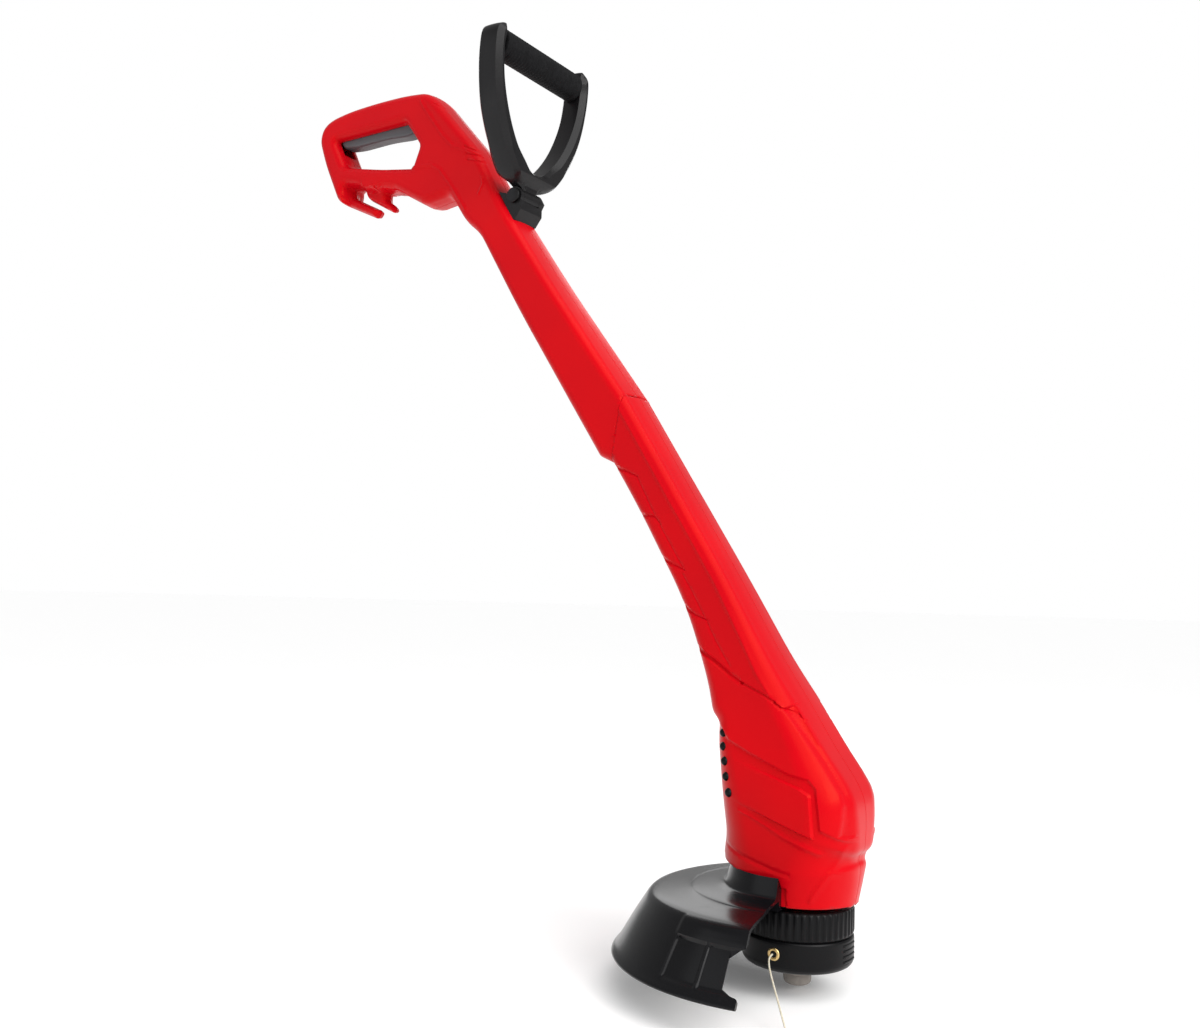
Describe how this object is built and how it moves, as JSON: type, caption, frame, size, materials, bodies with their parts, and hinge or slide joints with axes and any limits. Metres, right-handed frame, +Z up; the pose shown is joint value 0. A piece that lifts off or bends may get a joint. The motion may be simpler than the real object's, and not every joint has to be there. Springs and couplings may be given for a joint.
{
  "type": "string trimmer",
  "caption": "Corded string trimmer: hooked rear D grip, slanted shaft, tilting front loop handle, motor housing, guard hood and a spinning tap-feed line head.",
  "frame": {"origin": "middle of the rear hand grip, on the mid plane", "axes": "+Z up along the spool axis, +X forward from the rear grip to the head, +Y to the user's left"},
  "size_m": [0.614, 0.2872, 0.8137],
  "materials": {
    "red_shell": "satin moulded",
    "black_shell": "satin moulded",
    "grip_foam": "matte, ribbed",
    "trigger_grey": "satin",
    "knob_plastic": "matte, scuffed",
    "steel": "zinc plated",
    "brass": "turned",
    "line_nylon": "translucent off-white",
    "iron": "laminated",
    "carbon": "sintered",
    "copper": "machined",
    "board_green": "glass fibre",
    "cable_black": "soft sheath",
    "inner_plastic": "unfinished"
  },
  "bodies": {
    "housing": {"upper_shell_right": "red_shell", "upper_shell_left": "red_shell", "lower_shell_right": "red_shell", "lower_shell_left": "red_shell", "upper_shell_screws": "steel", "lower_shell_screws": "steel", "shaft_coupling": "inner_plastic", "trigger_pin": "steel", "trigger_spring": "steel", "power_switch": "black_shell", "mains_inlet": "black_shell", "inlet_pins": "brass", "capacitor": "inner_plastic", "rectifier_board": "board_green", "motor_cable": "cable_black", "supply_cable": "cable_black", "motor_can": "steel", "motor_bottom_cap": "black_shell", "motor_top_cap": "black_shell", "carbon_brushes": "carbon", "field_magnets": "iron", "upper_bearing": "brass", "lower_bearing": "brass", "motor_screws": "steel", "guard_hood": "black_shell", "guard_screws": "steel", "line_cutter": "steel", "cutter_screws": "steel", "handle_mount": "black_shell", "pivot_bolt": "steel", "pivot_nut": "black_shell"},
    "trigger": {"trigger": "trigger_grey"},
    "switch_plunger": {"switch_plunger": "inner_plastic"},
    "assist_handle": {"assist_loop": "black_shell", "assist_grip": "grip_foam"},
    "head": {"motor_shaft": "steel", "rotor_core": "iron", "commutator": "copper", "cooling_fan": "inner_plastic", "drive_hub": "brass", "spool_housing": "black_shell", "spool_cap": "black_shell", "line_eyelet": "brass", "spool_spring": "steel", "cutting_line": "line_nylon"},
    "tap_knob": {"tap_knob": "knob_plastic"},
    "line_spool": {"line_spool": "inner_plastic", "wound_line": "line_nylon"}
  },
  "joints": [
    {"name": "trigger_pull", "type": "hinge", "parent": "housing", "child": "trigger", "pos_m": [0.056, 0, -0.007], "axis": [0, 1, 0], "range_deg": [0, 5], "stiffness_Nm_per_rad": 3, "springref_deg": -3.44, "deforming": ["trigger_spring"]},
    {"name": "plunger_travel", "type": "slide", "parent": "housing", "child": "switch_plunger", "axis": [0, 0, 1], "range_m": [0, 0.0041]},
    {"name": "assist_tilt", "type": "hinge", "parent": "housing", "child": "assist_handle", "pos_m": [0.189, 0, -0.114], "axis": [0, 1, 0], "range_deg": [-15, 25]},
    {"name": "head_spin", "type": "hinge", "parent": "housing", "child": "head", "pos_m": [0.48, 0, -0.764], "axis": [0, 0, 1], "continuous": true},
    {"name": "bump_press", "type": "slide", "parent": "head", "child": "tap_knob", "axis": [0, 0, 1], "range_m": [0, 0.005], "stiffness_N_per_m": 1200, "springref_m": -0.004, "deforming": ["spool_spring"]},
    {"name": "line_feed", "type": "hinge", "parent": "tap_knob", "child": "line_spool", "pos_m": [0.48, 0, -0.758], "axis": [0, 0, 1], "continuous": true}
  ],
  "couplings": [
    {"joint": "plunger_travel", "follows": "trigger_pull", "m_per_rad": 0.046}
  ]
}
